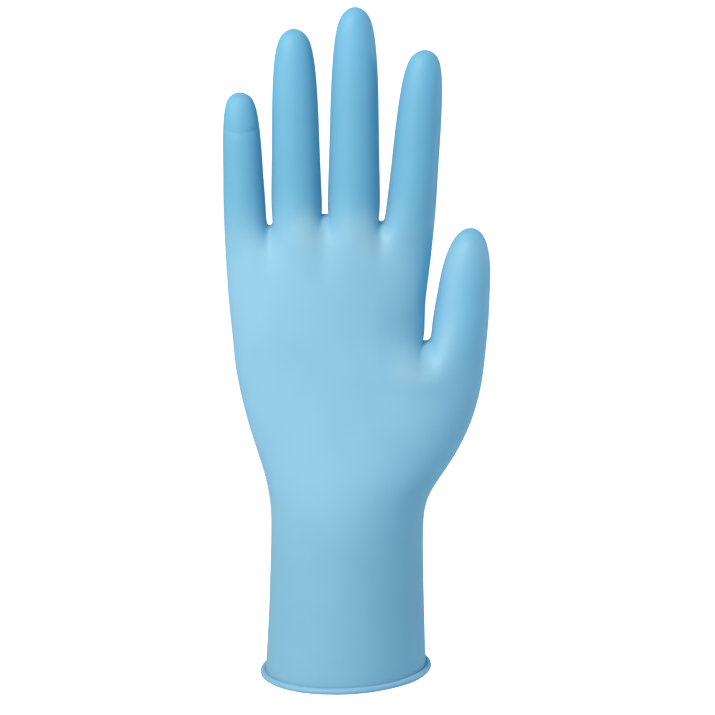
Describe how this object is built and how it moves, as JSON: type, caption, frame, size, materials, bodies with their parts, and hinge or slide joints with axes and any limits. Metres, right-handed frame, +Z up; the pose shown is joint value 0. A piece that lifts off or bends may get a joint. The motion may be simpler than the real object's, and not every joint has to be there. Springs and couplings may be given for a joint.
{
  "type": "nitrile exam glove",
  "caption": "Disposable ambidextrous examination glove of thin film in its worn form, fingers up, with a plain cuff and a rolled bead at the mouth.",
  "frame": {"origin": "middle of the cuff's mouth, level with the underside of the rolled bead", "axes": "+Z up the hand to the fingertips, +X to the thumb's side, -Y out of the palm face that the picture shows"},
  "size_m": [0.0949, 0.0596, 0.2402],
  "materials": {
    "nitrile": "soft matte, pale blue"
  },
  "bodies": {
    "root": {"glove_film": "nitrile"}
  },
  "joints": []
}
